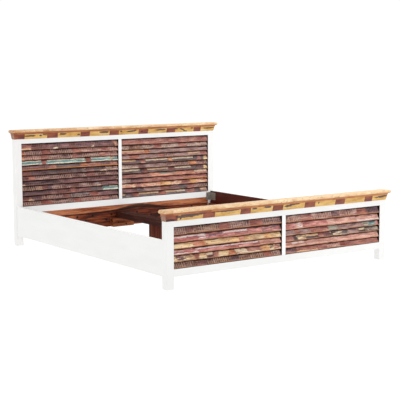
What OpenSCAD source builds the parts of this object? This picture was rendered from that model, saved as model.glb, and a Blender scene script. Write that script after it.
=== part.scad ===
// Bed frame with louvred head and foot panels, in millimetres.
// X runs across the bed, Y from the foot to the head, and Z up from the floor.
// The origin is on the floor, at the middle of the whole bed's box.

/* [Overall] */
// Width over the outer faces of the posts
bed_w = 1900; // [1700:10:2000]
// Clear length from the foot posts to the head posts
rail_len = 2060; // [1960:10:2160]
// Height of the lowest rails above the floor
floor_gap = 80; // [70:5:100]

/* [End frames] */
// Width of a post, across the bed
post_w = 55; // [50:1:60]
// Depth of a post, along the bed
post_d = 50; // [48:1:60]
// Depth of the rails and stiles between the posts
member_d = 38; // [36:1:44]
// Width of the centre stiles
stile_w = 30; // [24:1:40]
// Height of the foot's bottom rail
foot_bottom_rail_h = 48; // [44:1:56]
// Height of the foot's top rail
foot_top_rail_h = 38; // [34:1:50]
// Height of the head's lower board
lower_board_h = 174; // [160:1:180]
// Thickness of the head's lower board
lower_board_t = 25; // [20:1:30]
// How far the lower board stands back from the frame's front
lower_board_setback = 3; // [1:1:8]
// Height of the head's lower rail
head_lower_rail_h = 50; // [46:1:60]
// Height of the head's top rail
head_top_rail_h = 36; // [34:1:50]

/* [Louvres] */
// Rows of slats at the head
head_row_count = 12; // [10:1:12]
// Row height in the head panels
row_h = 40; // [36:1:44]
// Height of the head panels' top row
head_top_row_h = 54; // [45:1:60]
// Row heights in the foot panels, from the bottom up
foot_rows = [40, 44, 40, 40, 50, 54];
// How far a slat's lower edge stands back from the frame's front
slat_front = 2; // [1:0.5:4]
// How far its upper edge stands back
slat_top_back = 26; // [18:1:27]
// How far the back panel's front face stands back
back_panel_y = 30; // [28:1:30]
// Thickness of the back panels
back_panel_t = 8; // [6:1:8]
// Gap at each end of a slat
slat_end_gap = 3; // [1:1:6]

/* [Crown] */
// Height of the frieze
frieze_h = 38; // [34:1:50]
// How far the frieze stands proud at its bottom
frieze_proud = 2; // [1:1:6]
// How far it stands proud at its top
frieze_top_proud = 11; // [8:1:14]
// Widths of the frieze's blocks from the left; one last block fills the rest
frieze_blocks = [85, 195, 95, 205, 85, 185, 90, 190, 95, 185, 90, 190, 75];
// Height of the cove under the cap
cove_h = 10; // [8:1:14]
// How far the cove stands proud at its top
cove_top_proud = 17; // [15:1:20]
// Thickness of the cap, whose edges are half round
cap_t = 24; // [20:1:30]
// Overhang of the cap at the front and the sides
cap_overhang = 28; // [24:1:36]

/* [Side rails and centre] */
// Height of a side rail
side_rail_h = 228; // [200:1:240]
// Thickness of a side rail
side_rail_t = 28; // [24:1:32]
// How far a side rail's outer face stands in from the posts' outer faces
side_rail_inset = 4; // [2:1:8]
// Height of the surface that carries the mattress base
base_z = 200; // [190:1:205]
// Width of a cleat
cleat_w = 30; // [20:1:35]
// Height of a cleat
cleat_h = 40; // [30:1:50]
// Width of the centre beam and its legs
beam_w = 90; // [70:1:120]
// Height of the centre beam
beam_h = 50; // [40:1:60]
// Thickness of a leg, along the bed
leg_t = 50; // [40:1:60]
// Distance of a leg from the nearer end frame
leg_from_end = 500; // [300:10:700]
// Length of the block under each end of the beam
rest_w = 200; // [150:10:300]
// Thickness of that block
rest_t = 45; // [35:1:60]

/* [Brackets and fasteners] */
// Length of a bracket's flange on the side rail
bracket_rail_l = 80; // [75:1:90]
// Length of a bracket's flange on the post
bracket_post_l = 45; // [42:1:50]
// Height of a bracket
bracket_h = 65; // [60:1:75]
// Height of a bracket's lower edge above the floor
bracket_z = 230; // [225:1:232]
// Plate thickness
bracket_t = 5; // [4:0.5:6]
// Radius of a bracket bolt's shank
bolt_r = 4; // [3:0.5:4]
// Radius of a wood screw's shank
screw_r = 2.5; // [2:0.25:3]

/* [Hidden] */
$fn = 48;
eps = 1;
glue_line = 0.3;
row_gap = 0.5;
tenon_l = 20;
tenon_t = 14;
tenon_shoulder = 7;
tongue_l = 8;
tongue_t = 12;
tongue_shoulder = 20;
bolt_in = 35;
bolt_inset = 15;
bolt_spacing = 22;
bolt_head_r = 6.5;
bolt_head_h = 5;
bolt_z = bracket_z + 16;
screw_l = 24;
screw_head_r = 5;
screw_head_h = 3;
bracket_screw_y = [32, 62];
cleat_screw_count = 5;
cleat_screw_l = 48;
cleat_end_gap = 10;
bend_r = 4;

half_w = bed_w / 2;
bed_l = cap_overhang + 2 * post_d + rail_len;
foot_y = cap_overhang - bed_l / 2;
foot_back_y = foot_y + post_d;
head_y = foot_back_y + rail_len;
opening_w = bed_w - 2 * post_w;
panel_w = (opening_w - stile_w) / 2;

head_rows = [for (i = [1 : head_row_count]) i < head_row_count ? row_h : head_top_row_h];
foot_row_count = len(foot_rows);
function row_z(rows, i) = i == 0 ? 0 : rows[i - 1] + row_z(rows, i - 1);
head_panel_h = row_z(head_rows, head_row_count);
foot_panel_h = row_z(foot_rows, foot_row_count);

head_lower_rail_z = floor_gap + lower_board_h;
head_panel_z = head_lower_rail_z + head_lower_rail_h;
head_top_rail_z = head_panel_z + head_panel_h;
head_post_h = head_top_rail_z + head_top_rail_h;
foot_panel_z = floor_gap + foot_bottom_rail_h;
foot_top_rail_z = foot_panel_z + foot_panel_h;
foot_post_h = foot_top_rail_z + foot_top_rail_h;

// A lower rail's tenon starts above the bracket bolts.
haunch = bolt_z + bolt_spacing + bolt_r + 3 - head_lower_rail_z;

rail_inner_x = half_w - side_rail_inset - side_rail_t;
bolt_x = rail_inner_x - bolt_inset;
bolt_zs = [bolt_z, bolt_z + bolt_spacing];
bracket_mid_z = bracket_z + bracket_h / 2;
beam_z = base_z - beam_h;
cleat_z = base_z - cleat_h;
cleat_l = rail_len - 2 * cleat_end_gap;
cleat_mid_z = cleat_z + cleat_h / 2;
cleat_screw_pitch = cleat_l / cleat_screw_count;
cleat_screw_ys = [for (i = [0 : cleat_screw_count - 1])
    foot_back_y + cleat_end_gap + (i + 0.5) * cleat_screw_pitch];
beam_foot_y = foot_y + member_d;
beam_head_y = head_y + lower_board_setback;

function two_digits(n) = n < 10 ? str("0", n) : str(n);
head_row_names = [for (i = [1 : head_row_count]) str("head_slat_row_", two_digits(i))];
foot_left_names = [for (i = [1 : foot_row_count]) str("foot_slat_left_", i)];
foot_right_names = [for (i = [1 : foot_row_count]) str("foot_slat_right_", i)];

// Helpers

// Extrudes a Y-Z outline along X, and an X-Z outline along Y.
module along_x(length) rotate([90, 0, 90]) linear_extrude(length) children();
module along_y(length) translate([0, length, 0]) rotate([90, 0, 0]) linear_extrude(length) children();

// Draws its children on the right, and mirrored on the left.
module on_side(side) mirror([side == "left" ? 1 : 0, 0, 0]) children();
module both_sides() for (side = ["left", "right"]) on_side(side) children();

// A cylinder that starts at a point and runs towards the foot or the head.
module rod_y(radius, length, towards_head = true)
    rotate([towards_head ? -90 : 90, 0, 0]) cylinder(r = radius, h = length);

// A countersunk screw that enters at the origin and runs along +X.
module wood_screw(length) rotate([0, 90, 0]) {
    cylinder(r1 = screw_head_r, r2 = screw_r, h = screw_head_h);
    cylinder(r = screw_r, h = length);
}

// End frames

// The bolt holes in one right-hand post, entering at a face and running towards_head or not.
module bolt_shanks(face_y, length, towards_head)
    for (z = bolt_zs) translate([bolt_x, face_y, z]) rod_y(bolt_r, length, towards_head);

// A tenon's box, or its mortise: z range given, at the right-hand post's inner face.
module tenon_box(front_y, z0, z1)
    translate([half_w - post_w - eps, front_y + (member_d - tenon_t) / 2, z0])
        cube([tenon_l + eps, tenon_t, z1 - z0]);

module tongue_box()
    translate([half_w - post_w - eps, tongue_y, floor_gap + tongue_shoulder])
        cube([tongue_l + eps, tongue_t, lower_board_h - 2 * tongue_shoulder]);
tongue_y = head_y + lower_board_setback + (lower_board_t - tongue_t) / 2;

module head_mortises() {
    tenon_box(head_y, head_lower_rail_z + haunch, head_panel_z - tenon_shoulder);
    tenon_box(head_y, head_top_rail_z + tenon_shoulder, head_post_h - tenon_shoulder);
    tongue_box();
    bolt_shanks(head_y, bolt_in, true);
}

module foot_mortises() {
    tenon_box(foot_y, floor_gap + tenon_shoulder, foot_panel_z - tenon_shoulder);
    tenon_box(foot_y, foot_top_rail_z + tenon_shoulder, foot_post_h - tenon_shoulder);
    bolt_shanks(foot_back_y, bolt_in, false);
}

module head_post(side) color("white") on_side(side) difference() {
    translate([half_w - post_w, head_y, 0]) cube([post_w, post_d, head_post_h]);
    head_mortises();
}

module foot_post(side) color("white") on_side(side) difference() {
    translate([half_w - post_w, foot_y, 0]) cube([post_w, post_d, foot_post_h]);
    foot_mortises();
}

// A rail between the posts, with a tenon at each end from tenon_z0 to tenon_z1.
module cross_rail(front_y, z, height, tenon_z0, tenon_z1) color("white") {
    translate([-opening_w / 2, front_y, z]) cube([opening_w, member_d, height]);
    both_sides() tenon_box(front_y, tenon_z0, tenon_z1);
}

module head_top_rail()
    cross_rail(head_y, head_top_rail_z, head_top_rail_h,
        head_top_rail_z + tenon_shoulder, head_post_h - tenon_shoulder);
module head_lower_rail()
    cross_rail(head_y, head_lower_rail_z, head_lower_rail_h,
        head_lower_rail_z + haunch, head_panel_z - tenon_shoulder);
module foot_top_rail()
    cross_rail(foot_y, foot_top_rail_z, foot_top_rail_h,
        foot_top_rail_z + tenon_shoulder, foot_post_h - tenon_shoulder);
module foot_bottom_rail()
    cross_rail(foot_y, floor_gap, foot_bottom_rail_h,
        floor_gap + tenon_shoulder, foot_panel_z - tenon_shoulder);

module stile(front_y, z, height)
    color("white") translate([-stile_w / 2, front_y, z]) cube([stile_w, member_d, height]);
module head_stile() stile(head_y, head_panel_z, head_panel_h);
module foot_stile() stile(foot_y, foot_panel_z, foot_panel_h);

module head_lower_board() color("peru") {
    translate([-opening_w / 2, head_y + lower_board_setback, floor_gap])
        cube([opening_w, lower_board_t, lower_board_h]);
    both_sides() tongue_box();
}

// Panels and louvres

module back_panel(side, front_y, z, height)
    color("burlywood") on_side(side)
        translate([stile_w / 2, front_y + back_panel_y, z]) cube([panel_w, back_panel_t, height]);
module head_back_panel(side) back_panel(side, head_y, head_panel_z, head_panel_h);
module foot_back_panel(side) back_panel(side, foot_y, foot_panel_z, foot_panel_h);

// A louvre slat is a wedge: its lower edge stands forward of the slat below.
module slat(side, front_y, z, height)
    color("rosybrown") on_side(side)
        translate([stile_w / 2 + slat_end_gap, front_y, z])
            along_x(panel_w - 2 * slat_end_gap)
                polygon([[slat_front, row_gap], [back_panel_y, row_gap],
                         [back_panel_y, height], [slat_top_back, height]]);
module head_slat_row(i)
    for (side = ["left", "right"])
        slat(side, head_y, head_panel_z + row_z(head_rows, i), head_rows[i]);
module foot_slat(side, i)
    slat(side, foot_y, foot_panel_z + row_z(foot_rows, i), foot_rows[i]);

// Crown

// A band across an end frame that leans out at the front and both ends.
module leaning_band(height, proud, top_proud) intersection() {
    translate([-bed_w, 0, 0]) along_x(2 * bed_w)
        polygon([[-proud, 0], [post_d, 0], [post_d, height], [-top_proud, height]]);
    translate([0, -bed_w, 0]) along_y(2 * bed_w)
        polygon([[-half_w - proud, 0], [half_w + proud, 0],
                 [half_w + top_proud, height], [-half_w - top_proud, height]]);
}

// Block i spans from one joint to the next; the end blocks run past the leaning ends.
joint_count = len(frieze_blocks);
function joint_x(i) = i == 0 ? -half_w - frieze_proud : joint_x(i - 1) + frieze_blocks[i - 1];
function block_start(i) = i == 0 ? -bed_w : joint_x(i) + glue_line / 2;
function block_end(i) = i == joint_count ? bed_w : joint_x(i + 1) - glue_line / 2;

module frieze() for (i = [0 : joint_count])
    color(i % 2 == 0 ? "sienna" : "goldenrod") intersection() {
        leaning_band(frieze_h, frieze_proud, frieze_top_proud);
        translate([block_start(i), -post_d, 0])
            cube([block_end(i) - block_start(i), 3 * post_d, frieze_h]);
    }

// The cove spreads from the frieze to the rounded edge of the cap.
module cove() color("peru") leaning_band(cove_h, frieze_top_proud, cove_top_proud);

// The cap has a half-round edge at the front and both sides, mitred at the corners.
module cap() color("tan") intersection() {
    edge_r = cap_t / 2;
    translate([-bed_w, 0, 0]) along_x(2 * bed_w) {
        translate([edge_r - cap_overhang, 0]) square([post_d + cap_overhang - edge_r, cap_t]);
        translate([edge_r - cap_overhang, edge_r]) circle(edge_r);
    }
    translate([0, -bed_w, 0]) along_y(2 * bed_w) {
        core_w = bed_w + 2 * cap_overhang - cap_t;
        translate([-core_w / 2, 0]) square([core_w, cap_t]);
        for (x = [-core_w / 2, core_w / 2]) translate([x, edge_r]) circle(edge_r);
    }
}

module head_frieze() translate([0, head_y, head_post_h]) frieze();
module foot_frieze() translate([0, foot_y, foot_post_h]) frieze();
module head_cove() translate([0, head_y, head_post_h + frieze_h]) cove();
module foot_cove() translate([0, foot_y, foot_post_h + frieze_h]) cove();
module head_cap() translate([0, head_y, head_post_h + frieze_h + cove_h]) cap();
module foot_cap() translate([0, foot_y, foot_post_h + frieze_h + cove_h]) cap();

// Side rails and centre support

// Where the right-hand bracket's screws enter the side rail, as Y values.
bracket_screw_ys = concat(
    [for (d = bracket_screw_y) foot_back_y + d], [for (d = bracket_screw_y) head_y - d]);

module side_rail(side) color("white") on_side(side) difference() {
    translate([rail_inner_x, foot_back_y, floor_gap]) cube([side_rail_t, rail_len, side_rail_h]);
    for (y = bracket_screw_ys) translate([rail_inner_x - bracket_t, y, bracket_mid_z])
        wood_screw(screw_l);
    for (y = cleat_screw_ys) translate([rail_inner_x - cleat_w, y, cleat_mid_z])
        wood_screw(cleat_screw_l);
}

module cleat(side) color("sienna") on_side(side) difference() {
    translate([rail_inner_x - cleat_w, foot_back_y + cleat_end_gap, cleat_z])
        cube([cleat_w, cleat_l, cleat_h]);
    for (y = cleat_screw_ys) translate([rail_inner_x - cleat_w, y, cleat_mid_z])
        wood_screw(cleat_screw_l);
}

module cleat_screws() color("silver") both_sides()
    for (y = cleat_screw_ys) translate([rail_inner_x - cleat_w, y, cleat_mid_z])
        wood_screw(cleat_screw_l);

module centre_beam() color("maroon")
    translate([-beam_w / 2, beam_foot_y, beam_z]) cube([beam_w, beam_head_y - beam_foot_y, beam_h]);

module centre_leg(y) color("brown")
    translate([-beam_w / 2, y, 0]) cube([beam_w, leg_t, beam_z]);
module centre_leg_head() centre_leg(head_y - leg_from_end - leg_t);
module centre_leg_foot() centre_leg(foot_back_y + leg_from_end);

module beam_rest(y) color("chocolate")
    translate([-rest_w / 2, y, floor_gap]) cube([rest_w, rest_t, beam_z - floor_gap]);
module beam_rest_head() beam_rest(beam_head_y - rest_t);
module beam_rest_foot() beam_rest(beam_foot_y);

// Brackets and their fasteners

// An angle plate in the corner between the right-hand side rail and the head post.
module angle_plate() difference() {
    translate([rail_inner_x, head_y, bracket_z]) linear_extrude(bracket_h) {
        translate([-bracket_post_l, -bracket_t]) square([bracket_post_l, bracket_t]);
        translate([-bracket_t, -bracket_rail_l]) square([bracket_t, bracket_rail_l]);
        translate([-bracket_t - bend_r, -bracket_t - bend_r]) difference() {
            square(bend_r + eps / 2);
            circle(bend_r);
        }
    }
    bolt_shanks(head_y - bracket_t - eps, bracket_t + 2 * eps, true);
    for (d = bracket_screw_y) translate([rail_inner_x - bracket_t, head_y - d, bracket_mid_z])
        wood_screw(bracket_t + eps);
}

// The same plate turned round to face the foot post.
module at_end(end)
    if (end == "head") children();
    else translate([0, foot_back_y + head_y, 0]) mirror([0, 1, 0]) children();

module bracket(end, side) color("dimgray") on_side(side) at_end(end) angle_plate();

module bracket_bolts() color("silver") both_sides() for (end = ["head", "foot"]) at_end(end)
    for (z = bolt_zs) translate([bolt_x, head_y - bracket_t, z]) {
        rod_y(bolt_r, bracket_t + bolt_in);
        translate([0, -bolt_head_h, 0]) rod_y(bolt_head_r, bolt_head_h);
    }

module bracket_screws() color("silver") both_sides()
    for (y = bracket_screw_ys) translate([rail_inner_x - bracket_t, y, bracket_mid_z])
        wood_screw(screw_l);

head_post("left");  // head_post_left
head_post("right");  // head_post_right
head_top_rail();
head_lower_rail();
head_stile();
head_lower_board();
head_back_panel("left");  // head_back_panel_left
head_back_panel("right");  // head_back_panel_right
head_frieze();
head_cove();
head_cap();
foot_post("left");  // foot_post_left
foot_post("right");  // foot_post_right
foot_top_rail();
foot_bottom_rail();
foot_stile();
foot_back_panel("left");  // foot_back_panel_left
foot_back_panel("right");  // foot_back_panel_right
foot_frieze();
foot_cove();
foot_cap();
side_rail("left");  // side_rail_left
side_rail("right");  // side_rail_right
cleat("left");  // cleat_left
cleat("right");  // cleat_right
centre_beam();
centre_leg_head();
centre_leg_foot();
beam_rest_head();
beam_rest_foot();
bracket("head", "left");  // bracket_head_left
bracket("head", "right");  // bracket_head_right
bracket("foot", "left");  // bracket_foot_left
bracket("foot", "right");  // bracket_foot_right
bracket_bolts();
bracket_screws();
cleat_screws();
for (i = [0 : head_row_count - 1])
    head_slat_row(i);
for (i = [0 : foot_row_count - 1]) {
    foot_slat("left", i);
    foot_slat("right", i);
}
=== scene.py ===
"""A double bed frame of reclaimed wood: white posts and rails, louvred panels and jointed crowns."""
from collections import namedtuple
import math
import random

import bpy
from mathutils import Matrix, Vector, noise


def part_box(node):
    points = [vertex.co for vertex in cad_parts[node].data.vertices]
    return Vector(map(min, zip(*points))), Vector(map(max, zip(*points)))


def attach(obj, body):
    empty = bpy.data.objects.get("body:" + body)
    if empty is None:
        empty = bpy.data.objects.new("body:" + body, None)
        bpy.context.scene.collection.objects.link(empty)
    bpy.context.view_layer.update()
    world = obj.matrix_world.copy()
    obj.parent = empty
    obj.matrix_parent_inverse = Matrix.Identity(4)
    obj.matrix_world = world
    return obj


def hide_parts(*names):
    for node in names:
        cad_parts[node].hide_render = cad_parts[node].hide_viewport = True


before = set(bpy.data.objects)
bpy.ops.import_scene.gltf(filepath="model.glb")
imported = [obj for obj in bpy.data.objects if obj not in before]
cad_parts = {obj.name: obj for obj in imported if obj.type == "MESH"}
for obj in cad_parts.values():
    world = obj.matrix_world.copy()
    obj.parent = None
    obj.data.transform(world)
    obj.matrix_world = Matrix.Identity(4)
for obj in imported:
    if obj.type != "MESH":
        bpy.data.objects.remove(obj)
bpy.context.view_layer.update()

MM = 0.001
# Half widths, from the bed's middle: over the posts, to the panels' outer edges, and of a stile
POST_HALF_SPAN = 950 * MM
PANEL_OUTER = 895 * MM
STILE_HALF = 15 * MM
head_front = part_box("head_post_left")[0].y
foot_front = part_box("foot_post_left")[0].y


# Camera

CAMERA_PLACE = (-4.6571, -6.6436, 1.3991)
CAMERA_TURNS = (35.406, 7.051, -0.173)    # azimuth, elevation and roll in degrees
LENS_MM = 97.92
FILM_MM = 36


def place_camera():
    """A long lens, a little above the crowns, that looks along the bed from the left of its foot."""
    azimuth, elevation, roll = (math.radians(angle) for angle in CAMERA_TURNS)
    ahead = Vector((math.sin(azimuth) * math.cos(elevation),
                    math.cos(azimuth) * math.cos(elevation),
                    -math.sin(elevation)))
    level = Vector((math.cos(azimuth), -math.sin(azimuth), 0))
    upright = level.cross(ahead)
    right = level * math.cos(roll) + upright * math.sin(roll)
    up = upright * math.cos(roll) - level * math.sin(roll)
    lens = bpy.data.cameras.new("studio_camera")
    lens.lens = LENS_MM
    lens.sensor_width = FILM_MM
    camera = bpy.data.objects.new("studio_camera", lens)
    camera.matrix_world = Matrix((right, up, -ahead)).transposed().to_4x4()
    camera.location = CAMERA_PLACE
    bpy.context.scene.collection.objects.link(camera)
    bpy.context.scene.camera = camera


place_camera()


# Shader helpers

def linear(hex_colour):
    """An sRGB hex colour as linear light, with full alpha."""
    parts = [int(hex_colour[i:i + 2], 16) / 255 for i in (0, 2, 4)]
    return tuple(c / 12.92 if c <= 0.04045 else ((c + 0.055) / 1.055) ** 2.4 for c in parts) + (1,)


def node(tree, kind, inputs=None, output=0, stops=None, **settings):
    """Adds one shader node and gives back one of its outputs.

    An input is a socket, a value or a hex colour. Stops are positions and hex colours."""
    made = tree.nodes.new("ShaderNode" + kind)
    for name, value in settings.items():
        setattr(made, name, value)
    for name, value in (inputs or {}).items():
        if isinstance(value, bpy.types.NodeSocket):
            tree.links.new(value, made.inputs[name])
        else:
            made.inputs[name].default_value = linear(value) if isinstance(value, str) else value
    if stops:
        ramp = made.color_ramp.elements
        while len(ramp) < len(stops):
            ramp.new(0.5)
        for element, (position, colour) in zip(ramp, stops):
            element.position = position
            element.color = linear(colour)
    return made.outputs[output] if made.outputs else made


# Sockets of the Mix node when it mixes colours: its factor, the two colours and the result
FACTOR, UNDER, OVER, MIXED = 0, 6, 7, 2
# Sockets of the Map Range node: its value, the range taken from it, and the range given back
VALUE, FIRST, LAST, FIRST_GIVES, LAST_GIVES = 0, 1, 2, 3, 4
SMOOTH = {"interpolation_type": "SMOOTHSTEP"}
COLOURS = {"data_type": "RGBA"}


def start_material(name, constants):
    """An empty material with its shader; constants are the shader's numbers that never vary."""
    material = bpy.data.materials.new(name)
    material.use_nodes = True
    tree = material.node_tree
    tree.nodes.clear()
    surface = node(tree, "BsdfPrincipled", constants)
    node(tree, "OutputMaterial", {"Surface": surface})
    return material, tree, surface.node.inputs


def finish_material(tree, shader, colour, height, relief_mm, strength=1.0):
    """Gives the shader its colour pattern, and the relief that one pattern raises."""
    relief = node(tree, "Bump", {"Height": height, "Distance": relief_mm * MM, "Strength": strength})
    tree.links.new(colour, shader["Base Color"])
    tree.links.new(relief, shader["Normal"])


def moved_per_board(tree, place):
    """Shifts a pattern's place by the board's own number, so that no two boards have the same grain."""
    board = node(tree, "Attribute", output="Fac", attribute_name="board")
    number = node(tree, "CombineXYZ", {0: board, 1: board, 2: board})
    far = node(tree, "VectorMath", {0: number, 1: (3.7, 1.9, 5.3)}, operation="MULTIPLY")
    return node(tree, "VectorMath", {0: place, 1: far})


def stretched_noise(tree, place, size_mm, detail=3, roughness=0.55, start=0.0):
    """Noise whose spots measure about size_mm along X, Y and Z. A different start gives other noise."""
    scale = tuple(1 / (size * MM) for size in size_mm)
    mapped = node(tree, "Mapping", {"Vector": place, "Scale": scale, "Location": (start,) * 3})
    return node(tree, "TexNoise",
                {"Vector": mapped, "Scale": 1.0, "Detail": detail, "Roughness": roughness})


def layered(tree, *layers):
    """Adds patterns together, each with its share."""
    total = 0.0
    for pattern, share in layers:
        total = node(tree, "Math", {0: pattern, 1: share, 2: total}, operation="MULTIPLY_ADD")
    return total


def along(axis, length, width):
    """Sizes along X, Y and Z of a streak that runs with one axis."""
    return tuple(length if name == axis else width for name in "XYZ")


# Old wood of the louvres: weathered or sawn boards with what is left of old paint.
# Grey and purple-brown woods are dull and furry, sawn ones carry pale upright kerf marks,
# and painted ones show chipped islands with wood in between. All scatter light, with no gloss.
# Each wood has its dark, middle and light colour, and how strongly kerf marks show.
WOODS = {
    "plum": ("4C3434", "7C5A5E", "A97D7E", 0.25),
    "plum_sawn": ("4D3837", "845E5E", "C29D93", 0.8),
    "plum_dark": ("3C2D2E", "614A52", "816468", 0.2),
    "umber": ("543131", "7E524F", "A57167", 0.2),
    "umber_sawn": ("4A322B", "77534A", "B5917E", 0.8),
    "rose": ("864E48", "B0766C", "D2A092", 0.15),
    "rose_sawn": ("794E48", "AC7D75", "E8BEB0", 0.85),
    "russet": ("6B3C35", "A26157", "C78875", 0.1),
    "orange": ("934F3C", "CC8561", "F3B388", 0.1),
    "salmon": ("AD6F5E", "E09D84", "F9C2AB", 0.1),
    "blush": ("B47C6E", "E2AA9A", "F4CCBE", 0.1),
    "mauve": ("8D524F", "CA857E", "F1B5AB", 0.1),
    "pink": ("994F4F", "C77B77", "E6A7A1", 0.1),
    "taupe": ("715656", "A68783", "CEB0A7", 0.2),
    "taupe_sawn": ("6F5654", "A88E87", "E6CBBB", 0.85),
    "slate": ("3E3637", "6B5F61", "908283", 0.1),
    "slate_sawn": ("463C40", "736368", "B7A3A3", 0.7),
    "ochre": ("BC7D47", "F0BA82", "FFDBA7", 0.1),
    "cream": ("C19062", "F5D4A3", "FFF0CD", 0.1),
    "teal": ("4C7C84", "74A4A4", "C0D4C8", 0.1),
    "greyteal": ("77736B", "AAA499", "C4D0BD", 0.1),
}
PAINTS = {"ivory": "FAF2DC", "cream": "F6E0C0", "tan": "EEC69C", "white": "EEE4E0", "orange": "BE7E48",
          "slate": "66606C", "teal": "6F9C98", "plum": "6E5056"}
# Real kerf marks are 5 to 8 mm apart: these are wider apart, so that they show
KERF_SPACING = 16 * MM


def reclaimed_louvre_wood():
    """The mesh says which wood a point is, where paint is left, how high it is and which board it is on."""
    material, tree, shader = start_material("reclaimed_louvre_wood",
                                            {"Roughness": 0.82, "Specular IOR Level": 0.25})
    place = node(tree, "TexCoord", output="Object")
    moved = moved_per_board(tree, place)
    dark, middle, light = (node(tree, "Attribute", attribute_name=name)
                           for name in ("dark", "middle", "light"))
    kerfs, cover, height = (node(tree, "Attribute", output="Fac", attribute_name=name)
                            for name in ("kerfs", "cover", "height"))
    # Grain: weathered bands 90 mm by 15 mm, streaks 60 mm by 6 mm, and fine ones 30 mm by 1.6 mm
    bands = stretched_noise(tree, moved, (90, 40, 15), 2, 0.5)
    broad = stretched_noise(tree, moved, (60, 30, 6), 4, 0.6)
    fine = stretched_noise(tree, moved, (30, 10, 1.6), 3, 0.6)
    grain = layered(tree, (bands, 0.4), (broad, 0.4), (fine, 0.2))
    wood = dark
    for first, last, tone in ((0.4, 0.5, middle), (0.5, 0.6, light)):
        rise = node(tree, "MapRange", {VALUE: grain, FIRST: first, LAST: last}, **SMOOTH)
        wood = node(tree, "Mix", {FACTOR: rise, UNDER: wood, OVER: tone}, MIXED, **COLOURS)
    # Rust-brown and grey streaks, 140 mm by 12 mm, run on over the joints, so that neighbours are akin
    for tint, share, start in (("8E5246", 0.45, 31), ("5C4A50", 0.35, 57)):
        streaks = stretched_noise(tree, place, (140, 40, 12), 3, 0.6, start)
        streaks = node(tree, "MapRange", {VALUE: streaks, FIRST: 0.5, LAST: 0.67, LAST_GIVES: share},
                       **SMOOTH)
        wood = node(tree, "Mix", {FACTOR: streaks, UNDER: wood, OVER: tint}, MIXED, **COLOURS)
    # Pale upright marks of a coarse saw, at the spacing above, wandering and in patches
    wander = stretched_noise(tree, moved, (40, 200, 200), 2)
    across = node(tree, "SeparateXYZ", {0: moved})
    phase = layered(tree, (across, 2 * math.pi / KERF_SPACING), (wander, 11.0))
    stripe = node(tree, "Math", {0: phase}, operation="SINE")
    stripe = node(tree, "MapRange", {VALUE: stripe, FIRST: 0.0, LAST: 0.8}, **SMOOTH)
    patch = stretched_noise(tree, moved, (55, 60, 40), 2)
    patch = node(tree, "MapRange", {VALUE: patch, FIRST: 0.34, LAST: 0.56, LAST_GIVES: kerfs}, **SMOOTH)
    kerf = node(tree, "Math", {0: stripe, 1: patch}, operation="MULTIPLY")
    pale = node(tree, "Mix", {FACTOR: 0.6, UNDER: light, OVER: "D8BEA2"}, MIXED, **COLOURS)
    kerf_share = node(tree, "Math", {0: kerf, 1: 0.8}, operation="MULTIPLY")
    wood = node(tree, "Mix", {FACTOR: kerf_share, UNDER: wood, OVER: pale}, MIXED, **COLOURS)
    # Old paint: chips 62 mm by 7 mm, more of them where the mesh says so
    chips = stretched_noise(tree, moved, (62, 20, 7), 5, 0.62)
    cover = node(tree, "MapRange", {VALUE: cover, FIRST_GIVES: 0.24, LAST_GIVES: 0.72}, **SMOOTH)
    painted = node(tree, "Math", {0: cover, 1: chips}, operation="SUBTRACT")
    painted = node(tree, "MapRange", {VALUE: painted, FIRST: -0.012, LAST: 0.03}, **SMOOTH)
    stained = stretched_noise(tree, moved, (18, 18, 5), 3)
    stained = node(tree, "MapRange", {VALUE: stained, FIRST: 0.35, LAST: 0.7, LAST_GIVES: 0.35}, **SMOOTH)
    old_paint = node(tree, "Attribute", attribute_name="paint")
    old_paint = node(tree, "Mix", {FACTOR: stained, UNDER: old_paint, OVER: middle}, MIXED, **COLOURS)
    colour = node(tree, "Mix", {FACTOR: painted, UNDER: wood, OVER: old_paint}, MIXED, **COLOURS)
    # Worm holes and dirt: brown specks, 12 mm by 5 mm, which show most on the pale boards
    specks = stretched_noise(tree, moved, (12, 12, 5), 2, 0.5, 83)
    # The lower arris is paler here and there: partly wood rubbed back, partly a painted highlight along its
    # forward edge
    rubbed = layered(tree, (stretched_noise(tree, moved, (50, 30, 30), 3, 0.6, 12), 0.36), (height, -1.0))
    # This share sets how far the arris is paled, by wear and by a painted highlight, on each panel
    worn = node(tree, "Attribute", output="Fac", attribute_name="worn")
    # Painted shade below the slat above: the top of each face is darkened, with an uneven lower line
    painted_shade_under_slat = layered(tree, (height, 1.0), (stretched_noise(tree, moved, (70, 30, 30), 3), 0.4))
    # Of these three marks the specks are real, the arris line is partly a painted highlight, and the last is
    # painted shade
    for pattern, first, last, most, tint in ((specks, 0.6, 0.68, 0.6, "6A4438"),
                                             (rubbed, 0.0, 0.08, worn, "C08A62"),
                                             (painted_shade_under_slat, 0.94, 1.08, 0.86, "28100E")):
        share = node(tree, "MapRange", {VALUE: pattern, FIRST: first, LAST: last, LAST_GIVES: most},
                     **SMOOTH)
        colour = node(tree, "Mix", {FACTOR: share, UNDER: colour, OVER: tint}, MIXED, **COLOURS)
    relief = layered(tree, (broad, 0.7), (painted, 0.35), (kerf, 0.3))
    finish_material(tree, shader, colour, relief, 0.9)
    return material


louvre_wood = reclaimed_louvre_wood()


# Shapes

def new_shape():
    """Points, faces, the material slot of each face, and named values of each point."""
    return {"points": [], "faces": [], "finish": [], "values": {}}


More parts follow.
